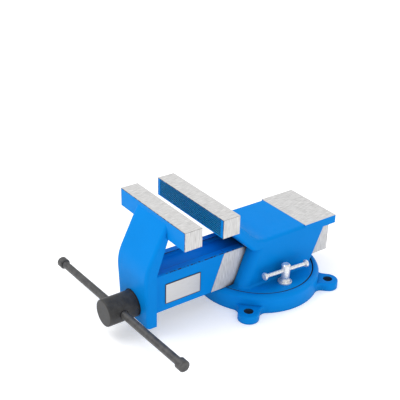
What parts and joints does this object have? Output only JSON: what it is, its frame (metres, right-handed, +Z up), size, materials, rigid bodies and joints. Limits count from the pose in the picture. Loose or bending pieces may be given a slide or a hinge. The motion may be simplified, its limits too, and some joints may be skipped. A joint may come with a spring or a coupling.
{
  "type": "bench vise",
  "caption": "Swivel-base bench vise with a hollow sliding beam, crossed-serration jaws, a small anvil and a sliding tommy bar.",
  "frame": {"origin": "on the swivel axis, in the plane of the bench under the base", "axes": "+Z up along the swivel axis, +Y from the handle towards the anvil along the screw, +X towards the operator's right along the jaws"},
  "size_m": [0.2082, 0.247, 0.1116],
  "materials": {
    "blue_paint": "gloss enamel over a casting, jaw tops, jaw ends, anvil and beam sides bare",
    "plate_metal": "satin foil",
    "dark_steel": "black oxide",
    "bare_steel": "bright",
    "nut_iron": "as cast",
    "zinc_plate": "bright zinc"
  },
  "bodies": {
    "base": {"swivel_base": "blue_paint"},
    "jaw_body": {"fixed_jaw": "blue_paint", "spindle_nut": "nut_iron", "nut_bolts": "dark_steel", "lock_washer_right": "zinc_plate", "lock_washer_left": "zinc_plate", "clamp_nut_right": "nut_iron", "clamp_nut_left": "nut_iron"},
    "slide": {"moving_jaw": "blue_paint", "nameplate": "plate_metal", "thrust_washer": "dark_steel", "retaining_washer": "bare_steel", "retaining_spring": "bare_steel"},
    "spindle": {"lead_screw": "dark_steel", "retaining_collar": "dark_steel", "collar_pin": "bare_steel"},
    "handle": {"handle_bar": "dark_steel", "handle_knob_right": "dark_steel", "handle_knob_left": "dark_steel"},
    "lock_right": {"lock_screw_right": "zinc_plate"},
    "lock_left": {"lock_screw_left": "zinc_plate"},
    "lock_handle_right": {"lock_bar_right": "zinc_plate", "lock_bar_ends_right": "zinc_plate"},
    "lock_handle_left": {"lock_bar_left": "zinc_plate", "lock_bar_ends_left": "zinc_plate"}
  },
  "joints": [
    {"name": "base_swivel", "type": "hinge", "parent": "base", "child": "jaw_body", "pos_m": [0, 0, 0], "axis": [0, 0, 1], "continuous": true},
    {"name": "screw_turn", "type": "hinge", "parent": "slide", "child": "spindle", "pos_m": [0, -0.158, 0.0244], "axis": [0, 1, 0], "range_deg": [-9408, 2556]},
    {"name": "jaw_slide", "type": "slide", "parent": "jaw_body", "child": "slide", "axis": [0, 1, 0], "range_m": [-0.0785, 0.0214]},
    {"name": "handle_slide", "type": "slide", "parent": "spindle", "child": "handle", "axis": [0.999, 0, 0.0454], "range_m": [-0.083, 0.083]},
    {"name": "lock_turn_right", "type": "hinge", "parent": "jaw_body", "child": "lock_right", "pos_m": [0.0413, 0, 0.0196], "axis": [0, 0, -1], "range_deg": [-18, 0]},
    {"name": "lock_turn_left", "type": "hinge", "parent": "jaw_body", "child": "lock_left", "pos_m": [-0.0413, 0, 0.0196], "axis": [0, 0, -1], "range_deg": [-20, 0]},
    {"name": "lock_bar_slide_right", "type": "slide", "parent": "lock_right", "child": "lock_handle_right", "axis": [0.0698, 0.9976, 0], "range_m": [-0.018, 0.018]},
    {"name": "lock_bar_slide_left", "type": "slide", "parent": "lock_left", "child": "lock_handle_left", "axis": [-0.1045, -0.9945, 0], "range_m": [-0.018, 0.018]}
  ],
  "couplings": [
    {"joint": "jaw_slide", "follows": "screw_turn", "m_per_rad": 0.00047746}
  ]
}
